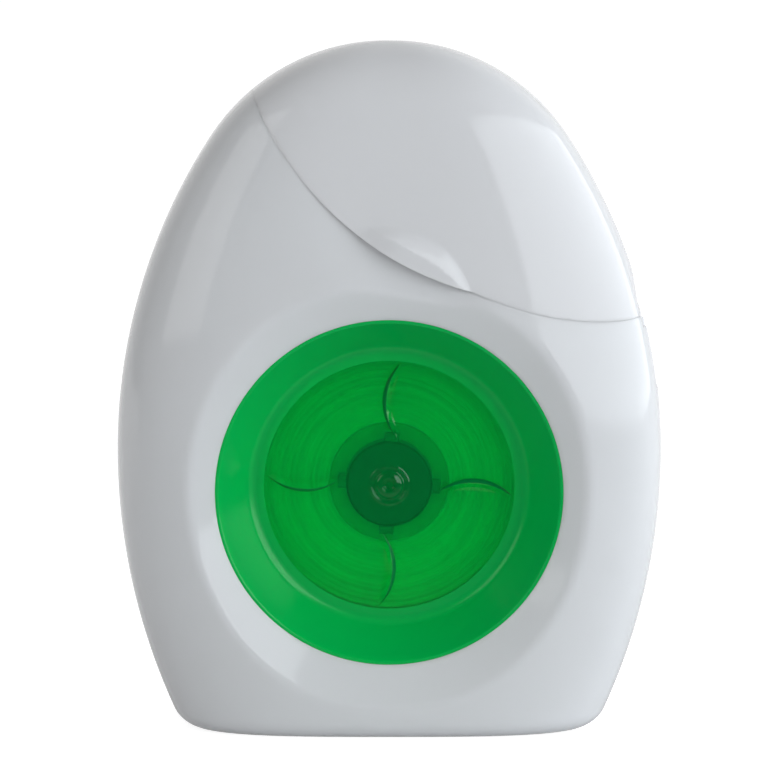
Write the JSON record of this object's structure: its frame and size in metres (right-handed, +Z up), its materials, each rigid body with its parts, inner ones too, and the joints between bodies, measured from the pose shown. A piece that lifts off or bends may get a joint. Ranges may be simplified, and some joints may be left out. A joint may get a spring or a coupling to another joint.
{
  "type": "dental floss dispenser",
  "caption": "Egg-shaped floss dispenser with a flip lid, a green spool window, a turning spool of floss and a steel cutter.",
  "frame": {"origin": "under the middle of the base, on the surface that the dispenser stands on", "axes": "+Z up along the height, +X to the hinge side, +Y from the window side to the plain back"},
  "size_m": [0.0492, 0.0204, 0.062],
  "materials": {
    "case_white": "polished white polypropylene",
    "lid_white": "polished white polypropylene",
    "deck_white": "satin white polypropylene",
    "window_green": "clear green moulded plastic",
    "spindle_green": "dark green moulded plastic",
    "core_card": "plain brown wound card",
    "floss": "waxed white floss",
    "cutter_steel": "stamped bright steel"
  },
  "bodies": {
    "case": {"front_shell": "case_white", "rear_shell": "case_white", "window": "window_green", "spindle": "spindle_green", "floss_strand": "floss", "deck": "deck_white", "cutter": "cutter_steel", "hinge_web": "lid_white", "hinge_strap": "lid_white"},
    "lid": {"lid": "lid_white"},
    "spool": {"bobbin_core": "core_card", "floss_roll": "floss", "floss_turns": "floss"}
  },
  "joints": [
    {"name": "lid_hinge", "type": "hinge", "parent": "case", "child": "lid", "pos_m": [0.0225, 0, 0.03755], "axis": [0, 1, 0], "range_deg": [0, 115], "deforming": ["hinge_web"]},
    {"name": "spool_spin", "type": "hinge", "parent": "case", "child": "spool", "pos_m": [0, 0, 0.0222], "axis": [0, 1, 0], "continuous": true}
  ]
}
